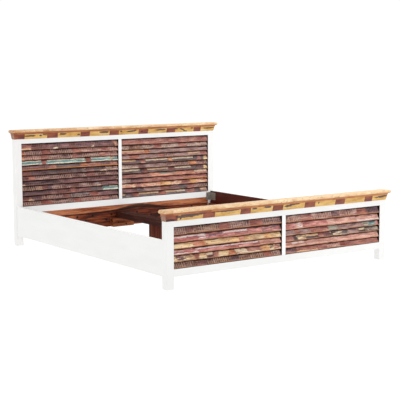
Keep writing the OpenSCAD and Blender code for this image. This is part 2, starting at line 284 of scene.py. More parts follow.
def add_bar(shape, rings, values, finish, ends=None):
    """Joins rings of points into a closed bar. Each ring has the values of its points, by name.

    The sides take one material slot, and the first and last end may have others."""
    first = len(shape["points"])
    count = len(rings[0])
    for ring, named in zip(rings, values):
        shape["points"].extend(ring)
        for name, numbers in named.items():
            shape["values"].setdefault(name, []).extend(numbers)
    for i in range(len(rings) - 1):
        for j in range(count):
            a = first + i * count + j
            b = first + i * count + (j + 1) % count
            shape["faces"].append((a, a + count, b + count, b))
            shape["finish"].append(finish)
    last = first + (len(rings) - 1) * count
    shape["faces"].append(tuple(first + j for j in range(count)))
    shape["faces"].append(tuple(last + j for j in reversed(range(count))))
    shape["finish"] += list(ends or (finish, finish))


SHARP_ANGLE = math.radians(38)


def make_piece(name, shape, materials, cad_node):
    """Makes a mesh of a shape, which rides on the bed and stands for a CAD node."""
    mesh = bpy.data.meshes.new(name)
    mesh.from_pydata(shape["points"], [], shape["faces"])
    for material in materials:
        mesh.materials.append(material)
    mesh.polygons.foreach_set("material_index", shape["finish"])
    for key, numbers in shape["values"].items():
        if isinstance(numbers[0], tuple):
            layer = mesh.attributes.new(key, "FLOAT_COLOR", "POINT")
            layer.data.foreach_set("color", [part for number in numbers for part in number])
        else:
            layer = mesh.attributes.new(key, "FLOAT", "POINT")
            layer.data.foreach_set("value", numbers)
    mesh.polygons.foreach_set("use_smooth", [True] * len(mesh.polygons))
    mesh.set_sharp_from_angle(angle=SHARP_ANGLE)
    piece = bpy.data.objects.new(name, mesh)
    bpy.context.scene.collection.objects.link(piece)
    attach(piece, "root")
    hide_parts(cad_node)


def spaced(start, end, step):
    """Even stations from start to end, about a step apart."""
    count = max(1, round((end - start) / step))
    return [start + (end - start) * i / count for i in range(count + 1)]


def wobble(x, size_mm, seed):
    """A smooth unevenness from about -1 to 1 along a length; its waves measure about size_mm."""
    return noise.noise(Vector((x / (size_mm * MM), seed * 7.31, seed * 1.7)))


# Louvre slats. Each row is glued up from short boards: the wood, where the board ends in mm
# from the bed's middle, and the old paint with the place where it is left. Rows from the top down.
HEAD_LEFT = (
    "rose -803 tan.low, umber -700, plum -610, plum -575 cream.low, plum -470, umber -415, plum -262,"
    " plum -228 cream.low, plum -60, rose -18 tan.some",
    "orange -872, plum_sawn -710, russet -640, plum_sawn -440, russet -375, rose_sawn -163, rose -103,"
    " rose_sawn -18",
    "orange -870, rose_sawn -722, rose -655, plum_sawn -437, rose -395, plum_sawn -190, rose -130,"
    " rose_sawn -18",
    "teal -717 ivory.edges, russet -671, teal -323 ivory.edges, russet -271, teal -83 ivory.edges,"
    " cream -68, teal -18 ivory.edges",
    "plum -626 orange.low, rose -585 orange.low, slate -366 orange.low, orange -300, rose -180 orange.low,"
    " plum -90 orange.low, rose -18 orange.low",
    "umber -814, plum_dark -650, slate -580, plum_dark -450, slate -400, plum_dark -360,"
    " slate -317 tan.some, plum -245, slate -190, slate -150 tan.low, plum -18 cream.some",
    "umber -830, russet -778, plum_sawn -560, plum_sawn -317, umber -231, plum_sawn -18",
    "plum_dark -866 tan.low, plum_dark -560, plum -300, plum -60, plum -18 tan.some",
    "umber_sawn -711, umber -666, plum_dark -632, plum_sawn -470, plum_dark -454, umber -386,"
    " plum_sawn -230, slate_sawn -192 tan.low, plum -18",
    "plum_dark -640, plum -585, umber -460, rose -420, umber -385, plum -277, slate -160,"
    " teal -100 ivory.low, teal -18 ivory.edges",
    "umber -832, umber -808 tan.low, plum_dark -720, plum_sawn -529, umber -466, slate_sawn -283,"
    " russet -206, plum -18",
    "plum_sawn -725, russet -628, plum_sawn -430, russet -375, rose_sawn -174, rose -106, plum_sawn -18",
)
HEAD_RIGHT = (
    "rose 240, rose 485, rose 700, rose 892",
    "taupe_sawn 96, umber_sawn 225, taupe_sawn 345, rose 415, taupe_sawn 590, rose 680, taupe_sawn 892",
    "rose 244 tan.top, orange 296, taupe 600, taupe 892",
    "taupe 96, russet 192, taupe 380, rose 445, plum_sawn 548, taupe 690, taupe 822 tan.top, rose 892",
    "slate 165 tan.top, slate 204, rose 256, slate 484 cream.top, orange 524, slate 745 cream.top,"
    " slate 790, rose 822, slate 856, cream 892",
    "taupe_sawn 180, plum 250, taupe 445, plum_sawn 696, orange 776, plum_sawn 892",
    "slate 205 cream.top, plum_dark 228, umber 275, slate 484 tan.top, umber 553, slate 725 cream.top,"
    " slate 776, plum 856, cream 892",
    "rose 300, salmon 400, salmon 570 teal.crest, salmon 760, rose 892 cream.top",
    "taupe_sawn 106, plum 230, rose 375, rose 640, rose 892 orange.low",
    "salmon 165 cream.some, rose 210, salmon 405 cream.some, ochre 510, salmon 625 cream.some, rose 715,"
    " ochre 776, salmon 892 cream.some",
    "plum 168, slate 240, taupe 404, umber 507, plum 600, slate 680, rose 748, plum_sawn 892",
    "slate 55 tan.top, slate 130, russet 187, slate 300 tan.top, slate 385 tan.top, russet 456,"
    " slate 560 tan.top, slate 665 cream.top, rose 760, slate 820, taupe 892 tan.top",
)
FOOT_LEFT = (
    "plum_sawn -796, plum_dark -786, umber -734, umber_sawn -529, russet -449, plum_sawn -283, russet -174,"
    " plum_sawn -18",
    "pink -700 white.crest, pink -640 white.some, pink -500 slate.some, pink -410 white.crest,"
    " mauve -295 white.crest, mauve -180, mauve -18 slate.some",
    "cream -740, salmon -683, orange -640, cream -426, ochre -370, salmon -330, cream -157, ochre -100,"
    " cream -18",
    "pink -700 white.some, pink -374 white.crest, mauve -200 white.crest, blush -18",
    "cream -865, plum -795 cream.some, cream -735 plum.some, russet -689, cream -632, plum -580 cream.top,"
    " rose -535, cream -454, orange -403, plum -300 cream.all, rose -185 cream.low, ochre -117,"
    " cream -72 plum.some, rose -18 cream.some",
    "umber_sawn -711, umber -626, umber_sawn -437, plum_dark -369, umber_sawn -160, russet -100,"
    " plum_sawn -18",
)
FOOT_RIGHT = (
    "plum_sawn 45, rose_sawn 160, rose 260, rose_sawn 345, rose_sawn 440, plum 510, rose_sawn 680,"
    " russet 770, plum_dark 892",
    "mauve 110, blush 180 white.some, mauve 400, blush 525, blush 670, blush 892 white.low",
    "taupe 105, rose 150, taupe 250, rose 410, greyteal 500, taupe 600, taupe 745, greyteal 800,"
    " teal 865 slate.top, mauve 892",
    "rose 96, slate 130, cream 205 slate.some, slate 320 tan.top, rose 375, plum 427, slate 440 cream.top,"
    " slate 599 cream.some, taupe 700, slate 760 cream.top, slate 892 cream.some",
    "blush 85, blush 200 white.crest, blush 440, blush 560, blush 840, blush 892 cream.some",
    "plum 125, rose 320 tan.low, rose 400, rose_sawn 525, russet 570, rose 892",
)
# Share of paint left at a height on the board's face, from 0 at its lower edge to 1 at its top
PAINT_PLACES = {
    "bare": lambda h: 0.0,
    "low": lambda h: 0.8 * min(1, max(0, (0.34 - h) / 0.16)),
    "top": lambda h: 0.84 * min(1, max(0, (h - 0.38) / 0.16)),
    "edges": lambda h: 0.9 * min(1, max(0, (abs(h - 0.4) - 0.14) / 0.1)),
    "crest": lambda h: 0.72 * min(1, max(0, (0.2 - abs(h - 0.66)) / 0.08)),
    "some": lambda h: 0.5,
    "all": lambda h: 0.66,
}
# How far behind the posts' front a slat's lower edge, its top edge and its flat back lie
SLAT_FRONT = 2 * MM
SLAT_TOP_BACK = 26 * MM
SLAT_BACK = 29.9 * MM
FACE_HEIGHTS = (0.1, 0.22, 0.34, 0.46, 0.58, 0.7, 0.82, 0.93)
# Half the gap where two boards meet
BOARD_JOINT = 0.35 * MM
# A board's looks are its four colours in 16 numbers, then how strongly kerfs show and paint covers
KERFS, COVER = 16, 17
# Slant and softness are those of the line at its end, where the next board's looks begin
Board = namedtuple("Board", "start end looks paint_left slant softness")


def read_row(row, start, draw):
    """One row of boards, from its written form."""
    boards = []
    for entry in row.split(","):
        wood, end, *paint = entry.split()
        colour, place = paint[0].split(".") if paint else ("cream", "bare")
        dark, middle, light, kerfs = WOODS[wood]
        end = float(end) * MM
        looks = [*linear(dark), *linear(middle), *linear(light), *linear(PAINTS[colour]), kerfs]
        slant = draw.uniform(-30, 30) * MM
        softness = draw.uniform(6, 22) * MM
        boards.append(Board(start, end, looks, PAINT_PLACES[place], slant, softness))
        start = end
    return boards


def looks_at(boards, x, h):
    """Looks of a row at a point. Stain and paint run over each joint, along a slanting soft line."""
    looks = boards[0].looks + [boards[0].paint_left(h)]
    for board, following in zip(boards, boards[1:]):
        ragged = 5 * MM * noise.noise(Vector((board.end, h * 4, x / (16 * MM))))
        line = board.end + board.slant * (h - 0.5) + ragged
        share = min(1.0, (x - line) / board.softness + 0.5)
        if share > 0:
            next_looks = following.looks + [following.paint_left(h)]
            looks = [a + (b - a) * share for a, b in zip(looks, next_looks)]
    return looks


def add_board(shape, boards, board, base, top, front, worn, draw):
    """One board of a slat: its lower edge stands forward, worn and a little uneven."""
    seed = draw.uniform(0, 50)
    stand = draw.uniform(-0.7, 0.9) * MM
    lift = draw.uniform(0, 2.4) * MM
    tilt = draw.uniform(-0.6, 0.6) * MM
    rings = []
    values = []
    for x in spaced(board.start + BOARD_JOINT, board.end - BOARD_JOINT, 7 * MM):
        chip = max(0, wobble(x, 21, seed) - 0.28) * 6 * MM
        low = base + lift + (0.5 + 1.8 * (1 + wobble(x, 75, seed + 3))) * MM + chip
        high = top - (0.3 + 0.5 * (1 + wobble(x, 45, seed + 5))) * MM
        nose = SLAT_FRONT + stand + (0.5 * wobble(x, 34, seed + 8) + 0.25) * MM + 0.35 * chip
        nose = max(0.3 * MM, nose)
        crest = SLAT_TOP_BACK + stand * 0.5 + tilt + 0.5 * wobble(x, 50, seed + 9) * MM
        ring = [(SLAT_BACK, low), (nose + 6 * MM, low), (nose + 2.0 * MM, low + 0.1 * MM),
                (nose + 0.6 * MM, low + 0.7 * MM), (nose, low + 2.2 * MM)]
        marks = [0, 0, 0, 0, 0.04]
        for h in FACE_HEIGHTS:
            dent = 0.45 * noise.noise(Vector((x / (16 * MM), h * 5, seed))) * MM
            ring.append((nose + (crest - nose) * h + dent, low + (high - low) * h))
            marks.append(h)
        ring += [(crest + 0.7 * MM, high - 0.2 * MM), (SLAT_BACK, high)]
        marks += [1, 1]
        rings.append([(x, front + depth, z) for depth, z in ring])
        looks = [looks_at(boards, x, h) for h in marks]
        named = {"height": marks, "board": [seed / 50] * len(marks), "worn": [worn] * len(marks),
                 "kerfs": [look[KERFS] for look in looks], "cover": [look[COVER] for look in looks]}
        for place, name in enumerate(("dark", "middle", "light", "paint")):
            named[name] = [tuple(look[4 * place:4 * place + 4]) for look in looks]
        values.append(named)
    add_bar(shape, rings, values, 0)


# How pale the lower arris gets, from rubbed-back wood and a painted highlight: little on the head, more on
# the foot, where shins reach it
HEAD_ARRIS_WEAR_AND_HIGHLIGHT = 0.18
FOOT_ARRIS_WEAR_AND_HIGHLIGHT = 0.6
# Where the first board of a left and of a right slat starts
SLAT_OUTER = -892 * MM
SLAT_INNER = 18 * MM


def slat_piece(name, rows_and_starts, front, worn):
    """Builds one CAD slat, or a pair of them, up from its boards."""
    low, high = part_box(name)
    draw = random.Random(name)
    shape = new_shape()
    for row, start in rows_and_starts:
        boards = read_row(row, start, draw)
        for board in boards:
            add_board(shape, boards, board, low.z - 0.5 * MM, high.z, front, worn, draw)
    make_piece(name.replace("slat", "boards"), shape, [louvre_wood], name)


for number, (left, right) in enumerate(zip(reversed(HEAD_LEFT), reversed(HEAD_RIGHT)), 1):
    pair = [(left, SLAT_OUTER), (right, SLAT_INNER)]
    slat_piece(f"head_slat_row_{number:02d}", pair, head_front, HEAD_ARRIS_WEAR_AND_HIGHLIGHT)
for number, (left, right) in enumerate(zip(reversed(FOOT_LEFT), reversed(FOOT_RIGHT)), 1):
    slat_piece(f"foot_slat_left_{number}", [(left, SLAT_OUTER)], foot_front, FOOT_ARRIS_WEAR_AND_HIGHLIGHT)
    slat_piece(f"foot_slat_right_{number}", [(right, SLAT_INNER)], foot_front, FOOT_ARRIS_WEAR_AND_HIGHLIGHT)


# Crowns

def lacquered_wood(name, dark, middle, light, axis, streak_mm, flecks, stain=None, gloss=0.42):
    """Planed wood under clear lacquer: clean grain, small dark pores and a soft sheen."""
    material, tree, shader = start_material(name, {"Roughness": gloss, "Specular IOR Level": 0.4})
    moved = moved_per_board(tree, node(tree, "TexCoord", output="Object"))
    broad = stretched_noise(tree, moved, along(axis, 8 * streak_mm, 2 * streak_mm), 3, 0.55)
    fine = stretched_noise(tree, moved, along(axis, 30, 1.6), 3, 0.6)
    tone = node(tree, "Attribute", output="Fac", attribute_name="tone")
    grain = layered(tree, (broad, 0.62), (fine, 0.38), (tone, 0.22))
    colour = node(tree, "ValToRGB", {"Fac": grain},
                  stops=[(0.34, dark), (0.5, middle), (0.66, light)])
    # Real pores are under 1 mm wide: these flecks are 24 mm by 6 mm, so that they show
    pores = stretched_noise(tree, moved, along(axis, 24, 6), 3, 0.6)
    pores = node(tree, "MapRange", {VALUE: pores, FIRST: 0.56, LAST: 0.68, LAST_GIVES: flecks}, **SMOOTH)
    colour = node(tree, "Mix", {FACTOR: pores, UNDER: colour, OVER: "7A4626"}, MIXED, **COLOURS)
    if stain:
        mark = node(tree, "Attribute", output="Fac", attribute_name="stain")
        torn = layered(tree, (mark, 1.0), (stretched_noise(tree, moved, (26, 26, 7), 4, 0.6), -1.0))
        torn = node(tree, "MapRange", {VALUE: torn, FIRST: -0.04, LAST: 0.1, LAST_GIVES: 0.92}, **SMOOTH)
        colour = node(tree, "Mix", {FACTOR: torn, UNDER: colour, OVER: stain}, MIXED, **COLOURS)
    finish_material(tree, shader, colour, fine, 0.25, 0.6)
    return material


# Blocks of pale mango wood, warm yellow with grey-purple mineral stain
pale_block = lacquered_wood("lacquered_mango_block", "B8843E", "DAAE62", "EAC888", "X", 12, 0.5, "463238")
# Blocks of red sheesham, deep red-brown with a dark streaky figure
red_block = lacquered_wood("lacquered_sheesham_block", "5A2A22", "8A4630", "A8623E", "X", 10, 0.5, "3A1C1A")
# Sawn ends of blocks: end grain drinks the finish and looks greyer and matt
block_end = lacquered_wood("block_end_grain", "74493A", "9C7460", "BC947C", "Z", 6, 0.3, gloss=0.7)
# The cap: pale laths, finger-jointed, with fine pores
cap_wood = lacquered_wood("lacquered_cap_lath", "B47E4A", "DCB282", "F0D6AC", "X", 12, 0.7)
# Cove and the cap's lower lip: a darker orange-brown lath under the same lacquer
cove_wood = lacquered_wood("lacquered_cove_lath", "8C4A28", "B26A3E", "CC8A56", "X", 16, 0.4)

# A crown's depth behind the posts' front, and how far its parts stand proud of the posts, in mm
CROWN_BACK = 50 * MM
FRIEZE_PROUD = 2
FRIEZE_TOP_PROUD = 11
FRIEZE_LEAN = FRIEZE_TOP_PROUD - FRIEZE_PROUD
COVE_TOP_PROUD = 17
CAP_OVERHANG = 28
# Widths of a frieze's blocks in mm from the left, red and pale by turns; the last takes what is left
BLOCK_WIDTHS = (85, 195, 95, 205, 85, 185, 90, 190, 95, 185, 90, 190, 75)
# Mineral stain on each frieze: middle in mm along the bed, height from 0 to 1, half width in mm,
# half height as a share of the frieze's, and slope as height per 100 mm
HEAD_STAINS = ((-822, 0.62, 55, 0.17, 0), (-690, 0.85, 24, 0.12, 0), (-730, 0.62, 12, 0.16, 0),
               (-535, 0.75, 28, 0.2, 0), (-388, 0.5, 12, 0.14, 0), (-150, 0.75, 48, 0.2, 0),
               (8, 0.72, 10, 0.18, 0), (108, 0.7, 50, 0.17, 0.25), (390, 0.72, 55, 0.16, 0),
               (556, 0.78, 18, 0.12, 0), (618, 0.62, 30, 0.16, -1.0), (650, 0.2, 20, 0.14, 0),
               (720, 0.8, 18, 0.14, 0), (892, 0.66, 66, 0.16, 0), (212, 0.55, 12, 0.2, 0))
FOOT_STAINS = ((-775, 0.82, 108, 0.36, 0.12), (-480, 0.93, 105, 0.17, 0.02), (-258, 0.8, 22, 0.16, 0),
               (-146, 0.85, 34, 0.16, 0), (28, 0.66, 28, 0.22, 0), (70, 0.88, 30, 0.14, 0.1),
               (110, 0.9, 22, 0.1, 0), (303, 0.68, 6, 0.2, 0), (905, 0.72, 46, 0.2, 0.2),
               (855, 0.62, 22, 0.1, 0), (-845, 0.3, 10, 0.14, 0), (-925, 0.2, 40, 0.2, 0))


def stain_at(stains, x, h):
    """How strongly mineral stain marks a point of a frieze, from 0 to 1."""
    strongest = 0.0
    for middle, height, half_width, half_height, slope in stains:
        along_stain = (x / MM - middle) / half_width
        up_stain = (h - height - slope * (x / MM - middle) / 100) / half_height
        strongest = max(strongest, 1.15 - 0.6 * math.hypot(along_stain, up_stain))
    return max(0.0, min(1.0, strongest))


def frieze_piece(name, front, stains):
    """A frieze of jointed blocks that leans outwards, with each block's edges eased."""
    low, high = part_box(name)
    draw = random.Random(name)
    shape = new_shape()
    tall = high.z - low.z
    joints = [-POST_HALF_SPAN - FRIEZE_PROUD * MM]
    for width in BLOCK_WIDTHS:
        joints.append(joints[-1] + width * MM)
    joints.append(-joints[0])
    levels = [0, 0.03] + [0.06 + 0.88 * i / 9 for i in range(10)] + [0.97, 1]
    last = len(joints) - 2
    for i in range(last + 1):
        seed = draw.uniform(0, 1)
        set_back = draw.uniform(0.1, 0.9) * MM
        rings = []
        values = []
        for x in spaced(joints[i], joints[i + 1], 5 * MM):
            share = (x - joints[i]) / (joints[i + 1] - joints[i])
            rounded = 0.8 * MM if min(x - joints[i], joints[i + 1] - x) < 1 * MM else 0
            ring = [(CROWN_BACK, 0.0)]
            for h in levels:
                eased = 0.6 * MM if h in (0, 1) else 0.15 * MM if h in (0.03, 0.97) else 0
                proud = (FRIEZE_PROUD + FRIEZE_LEAN * h) * MM
                rough = 0.25 * noise.noise(Vector((x / (14 * MM), h * 4, seed * 40))) * MM
                ring.append((-proud + set_back + eased + rounded + 0.3 * MM + rough, h))
            ring.append((CROWN_BACK, 1.0))
            # The outermost blocks spread sideways too, as the frieze leans out
            spread = {0: share - 1, last: share}.get(i, 0) * FRIEZE_LEAN * MM
            rings.append([(x + spread * h, front + depth, low.z + h * tall) for depth, h in ring])
            values.append({"stain": [stain_at(stains, x, h) for _, h in ring], "board": [seed] * len(ring),
                           "tone": [draw.uniform(-0.02, 0.02)] * len(ring)})
        wood = i % 2
        add_bar(shape, rings, values, wood, (2 if i == 0 else wood, 2 if i == last else wood))
    make_piece(name + "_blocks", shape, [red_block, pale_block, block_end], name)


frieze_piece("head_frieze", head_front, HEAD_STAINS)
frieze_piece("foot_frieze", foot_front, FOOT_STAINS)

# Laths of each cap from the left: where one ends in mm, and its tone from 0, orange-brown, to 1, pale
HEAD_LATHS = ((-925, 0.05), (-870, 0.25), (-760, 0.5), (-700, 0.6), (-640, 0.2), (-560, 0.5), (-400, 0.62),
              (-200, 0.8), (-90, 0.4), (0, 0.62), (35, 0.95), (240, 0.8), (385, 0.65), (540, 0.9),
              (590, 0.5), (740, 0.85), (815, 0.9), (990, 0.65))
FOOT_LATHS = ((-890, 0.45), (-700, 0.7), (-600, 0.5), (-420, 0.68), (-230, 0.72), (-120, 0.6), (40, 0.9),
              (250, 0.88), (420, 0.95), (560, 0.82), (700, 0.8), (990, 0.85))


def edging_piece(name, front, profile, laths, materials):
    """A moulding round an end frame's front and both ends, mitred, with a flat back.

    The profile runs from bottom to top: how far it stands proud in mm, its height from 0 to 1,
    and which material starts there."""
    low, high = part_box(name)
    tall = high.z - low.z
    shape = new_shape()
    back = front + CROWN_BACK
    side = spaced(back, front, 8 * MM)
    across = spaced(-POST_HALF_SPAN, POST_HALF_SPAN, 8 * MM)
    path = [("left", y) for y in side[:-1]]
    path += [("front", x) for x in across]
    path += [("right", y) for y in reversed(side[:-1])]
    for kind, at in path:
        for proud, h, _ in profile:
            out = (proud - 0.25 * (1 + wobble(at, 30, 4 + h))) * MM if 0 < h < 1 else proud * MM
            x_out = POST_HALF_SPAN + out
            if kind == "front":
                x, y = at * x_out / POST_HALF_SPAN, front - out
            else:
                x = -x_out if kind == "left" else x_out
                y = back + (at - back) * (back - front + out) / (back - front)
            shape["points"].append((x, y, low.z + h * tall))
    rows = len(profile)
    count = len(path)
    tones = []
    for kind, at in path:
        x = {"left": -POST_HALF_SPAN, "right": POST_HALF_SPAN, "front": at}[kind]
        tones.append(next(tone for end, tone in laths if x <= end * MM))
    for i in range(count - 1):
        for j in range(rows - 1):
            a = i * rows + j
            shape["faces"].append((a, a + rows, a + rows + 1, a + 1))
            shape["finish"].append(profile[j][2])
    bottom = [i * rows for i in range(count)]
    top = [i * rows + rows - 1 for i in range(count)]
    back_face = list(range(rows)) + [(count - 1) * rows + j for j in reversed(range(rows))]
    shape["faces"] += [tuple(reversed(bottom)), tuple(top), tuple(back_face)]
    shape["finish"] += [profile[0][2], profile[-1][2], profile[-1][2]]
    shape["values"]["tone"] = [(tone - 0.5) * 0.9 for tone in tones for _ in range(rows)]
    shape["values"]["board"] = [tone * 1.7 for tone in tones for _ in range(rows)]
    make_piece(name + "_moulding", shape, materials, name)


NOSE_RADIUS = 12
CAP_PROFILE = []
for step in range(13):
    angle = math.radians(-90 + 15 * step)
    CAP_PROFILE.append((CAP_OVERHANG - NOSE_RADIUS + NOSE_RADIUS * math.cos(angle),
                        0.5 + 0.5 * math.sin(angle), 1 if angle < math.radians(-31) else 0))
COVE_PROFILE = []
for step in range(7):
    angle = math.radians(90 * step / 6)
    COVE_PROFILE.append((FRIEZE_TOP_PROUD + (COVE_TOP_PROUD - FRIEZE_TOP_PROUD) * (1 - math.cos(angle)),
                         math.sin(angle), 0))
for end, front, laths in (("head", head_front, HEAD_LATHS), ("foot", foot_front, FOOT_LATHS)):
    edging_piece(end + "_cap", front, CAP_PROFILE, laths, [cap_wood, cove_wood])
    edging_piece(end + "_cove", front, COVE_PROFILE, laths, [cove_wood])


# Lower board of the head: an old plank with nail holes

def oiled_plank():
    """Old hardwood, rubbed with oil: a deep orange-brown with long dark figure, nearly matt."""
    material, tree, shader = start_material("oiled_reclaimed_plank",
                                            {"Roughness": 0.6, "Specular IOR Level": 0.15})
    place = node(tree, "TexCoord", output="Object")
    # Figure 240 mm by 16 mm and streaks 60 mm by 2.5 mm, along the plank
    broad = stretched_noise(tree, place, (240, 60, 16), 4, 0.6)
    fine = stretched_noise(tree, place, (60, 20, 2.5), 4, 0.6)
    tone = node(tree, "Attribute", output="Fac", attribute_name="tone")
    grain = layered(tree, (broad, 0.6), (fine, 0.4), (tone, 0.3))
    colour = node(tree, "ValToRGB", {"Fac": grain},
                  stops=[(0.37, "3A130A"), (0.5, "813C20"), (0.66, "BE7A54")])
    for mark, shade in (("heart", "1C0B09"), ("nail", "120808")):
        marked = node(tree, "Attribute", output="Fac", attribute_name=mark)
        colour = node(tree, "Mix", {FACTOR: marked, UNDER: colour, OVER: shade}, MIXED, **COLOURS)
    finish_material(tree, shader, colour, fine, 0.5, 0.8)
    return material


plank = oiled_plank()
# Nail holes, in mm along the bed and above the floor. Real ones are about 6 mm across with their
# stain: these fade out at a radius of 13 mm, so that they show
NAIL_RADIUS = 13
PLANK_NAILS = ((-409, 181), (-269, 183), (-89, 180), (-334, 143), (-137, 141), (-620, 150), (-700, 190),
               (160, 180), (300, 146), (430, 184), (590, 150), (720, 185))


def bell(value, middle, half):
    """1 at the middle, falling evenly to 0 at half the width on each side."""
    return max(0.0, 1 - abs(value - middle) / half)


# The edge between pale sapwood, above, and red heartwood: where it runs in mm from the bed's
# middle, its height above the floor in mm, and half the height of the dark streak along it
HEART_EDGE = ((-1000, 200, 2), (-450, 203, 2.5), (-300, 205, 3), (-150, 208, 4), (-32, 211, 7), (75, 226, 15),
              (180, 233, 18), (293, 224, 14), (409, 208, 6), (500, 204, 2.5), (685, 200, 3), (880, 199, 4),
              (1000, 199, 4))
# Other marks, in mm: a knot with its middle and half sizes, a dark band with its middle and half
# sizes, and the middle and half length of a paler stretch
KNOT_X, KNOT_Z, KNOT_LONG, KNOT_HIGH = 360, 138, 75, 26
BAND_X, BAND_Z, BAND_LONG, BAND_HIGH = -165, 122, 110, 9
PALER_X, PALER_LONG = -470, 90
PLANK_ROWS = 43


def heart_edge_at(x_mm):
    """The height of the heartwood's edge, and half the height of its dark streak."""
    for (x0, z0, half0), (x1, z1, half1) in zip(HEART_EDGE, HEART_EDGE[1:]):
        if x_mm <= x1:
            share = (x_mm - x0) / (x1 - x0)
            return z0 + (z1 - z0) * share, half0 + (half1 - half0) * share
    return HEART_EDGE[-1][1:]


def plank_piece():
    """The plank: planed flat but worn, with dents at its nails."""
    low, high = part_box("head_lower_board")
    shape = new_shape()
    rings = []
    values = []
    heights = [i / PLANK_ROWS for i in range(PLANK_ROWS + 1)]
    for x in spaced(low.x, high.x, 4 * MM):
        ring = [(x, high.y, low.z)]
        tone, heart, nail = [0], [0], [0]
        for h in heights:
            z = low.z + h * (high.z - low.z)
            at_x, at_z = x / MM, z / MM
            hole = max(bell(math.hypot(at_x - nail_x, at_z - nail_z), 0, NAIL_RADIUS)
                       for nail_x, nail_z in PLANK_NAILS)
            hole = min(1, hole * 2)
            seam, half = heart_edge_at(at_x)
            seam += 2.5 * wobble(x, 90, 2)
            streak = min(1, 2.6 * bell(at_z, seam, half + 2.5))
            knot = bell(math.hypot((at_x - KNOT_X) / KNOT_LONG, (at_z - KNOT_Z) / KNOT_HIGH), 0, 1.0)
            dark_band = 0.8 * bell(at_z, BAND_Z + 3 * wobble(x, 60, 5), BAND_HIGH)
            dark_band *= bell(at_x, BAND_X, BAND_LONG)
            heart.append(min(1, max(0.88 * streak, min(0.85, knot * 2), dark_band)))
            tone.append(0.28 if at_z > seam else -0.25 + 0.25 * bell(at_x, PALER_X, PALER_LONG))
            nail.append(hole)
            depth = 0.4 * MM * (1 + noise.noise(Vector((x / (60 * MM), z / (14 * MM), 3)))) + 1.6 * hole * MM
            eased = 0.8 * MM if h in (0, 1) else 0
            ring.append((x, low.y + depth + eased, z))
        ring.append((x, high.y, high.z))
        tone.append(0)
        heart.append(0)
        nail.append(0)
        rings.append(ring)
        values.append({"tone": tone, "heart": heart, "nail": nail})
    add_bar(shape, rings, values, 0)
    make_piece("head_lower_plank", shape, [plank], "head_lower_board")


plank_piece()


# Finishes of the CAD's own parts

def brushed_paint(name, axis, bare_colours, bare_boxes, coats=("EEEEED", "F1F1F0")):
    """White paint brushed on hardwood: satin, with long faint brush lines and cloudy coats.

    Inside a bare box the colour turns from white paint to brown wood."""
    material, tree, shader = start_material(name, {"Roughness": 0.48, "Specular IOR Level": 0.25})
    place = node(tree, "TexCoord", output="Object")
    # Real brush lines are under 1 mm wide: these are 2.2 mm, so that they show
    strokes = stretched_noise(tree, place, along(axis, 160, 2.2), 3, 0.55)
    clouds = stretched_noise(tree, place, along(axis, 260, 60), 2, 0.5)
    paint = node(tree, "ValToRGB", {"Fac": clouds}, stops=[(0.35, coats[0]), (0.65, coats[1])])
    thin = node(tree, "MapRange", {VALUE: strokes, FIRST: 0.25, LAST: 0.5, FIRST_GIVES: 0.1, LAST_GIVES: 0.0},
                **SMOOTH)
    paint = node(tree, "Mix", {FACTOR: thin, UNDER: paint, OVER: "D8D6D2"}, MIXED, **COLOURS)
    grain = stretched_noise(tree, place, along(axis, 120, 5), 4, 0.6)
    bare = node(tree, "ValToRGB", {"Fac": grain},
                stops=[(0.35, bare_colours[0]), (0.65, bare_colours[1])])
    across, lengthwise, up = node(tree, "SeparateXYZ", {0: place}).node.outputs
    places = [node(tree, "Math", {0: across}, operation="ABSOLUTE"), lengthwise, up]
    inside_any = 0.0
    for box in bare_boxes:
        inside = 1.0
        for value, (least, most) in zip(places, box):
            for limit, side in ((least, "GREATER_THAN"), (most, "LESS_THAN")):
                passed = node(tree, "Math", {0: value, 1: limit}, operation=side)
                inside = node(tree, "Math", {0: inside, 1: passed}, operation="MULTIPLY")
        inside_any = node(tree, "Math", {0: inside_any, 1: inside}, operation="MAXIMUM")
    colour = node(tree, "Mix", {FACTOR: inside_any, UNDER: paint, OVER: bare}, MIXED, **COLOURS)
    finish_material(tree, shader, colour, strokes, 0.2, 0.5)
    return material


# The reveals round the louvres are coloured a near-black brown, from just behind the front arris to the back
# panel.
# The slack takes in the faces that lie exactly on an opening's edge
SLACK = 0.6 * MM
PAINTED_LIP = 1.5 * MM
REVEAL_BACK = 36 * MM
HEAD_PANEL_HEIGHTS = (304 * MM, 798 * MM)
FOOT_PANEL_HEIGHTS = (128 * MM, 396 * MM)
OPENINGS = [((STILE_HALF - SLACK, PANEL_OUTER + SLACK), (front + PAINTED_LIP, front + REVEAL_BACK),
             (sill - SLACK, lintel + SLACK))
            for front, (sill, lintel) in ((head_front, HEAD_PANEL_HEIGHTS), (foot_front, FOOT_PANEL_HEIGHTS))]
DARK_REVEAL = ("1E0E0C", "3A1C16")
BARE_BROWN = ("380C05", "5C1E0E")
white_upright = brushed_paint("brushed_white_paint_upright", "Z", DARK_REVEAL, OPENINGS)
white_across = brushed_paint("brushed_white_paint_across", "X", DARK_REVEAL, OPENINGS)
# The stiles are painted a shade whiter than the posts: painted light, which lifts the shade they get between
# the louvres
stile_white_painted_light = brushed_paint("stile_white_paint_painted_light", "Z", DARK_REVEAL, OPENINGS, ("F9F9F8", "FBFBFA"))
# The side rails' inner faces are bare, over their whole length and height
RAIL_INNER = 918 * MM
INNER_FACES = ((RAIL_INNER - 10 * MM, RAIL_INNER + 1.2 * MM), (-2, 2), (0, 1))
white_rail = brushed_paint("brushed_white_paint_side_rail", "Y", BARE_BROWN, [INNER_FACES])


# Real nail holes are about 4 mm wide: these fade from 8 to 18 mm, so that they show
HOLE_SPACING = 34 * MM


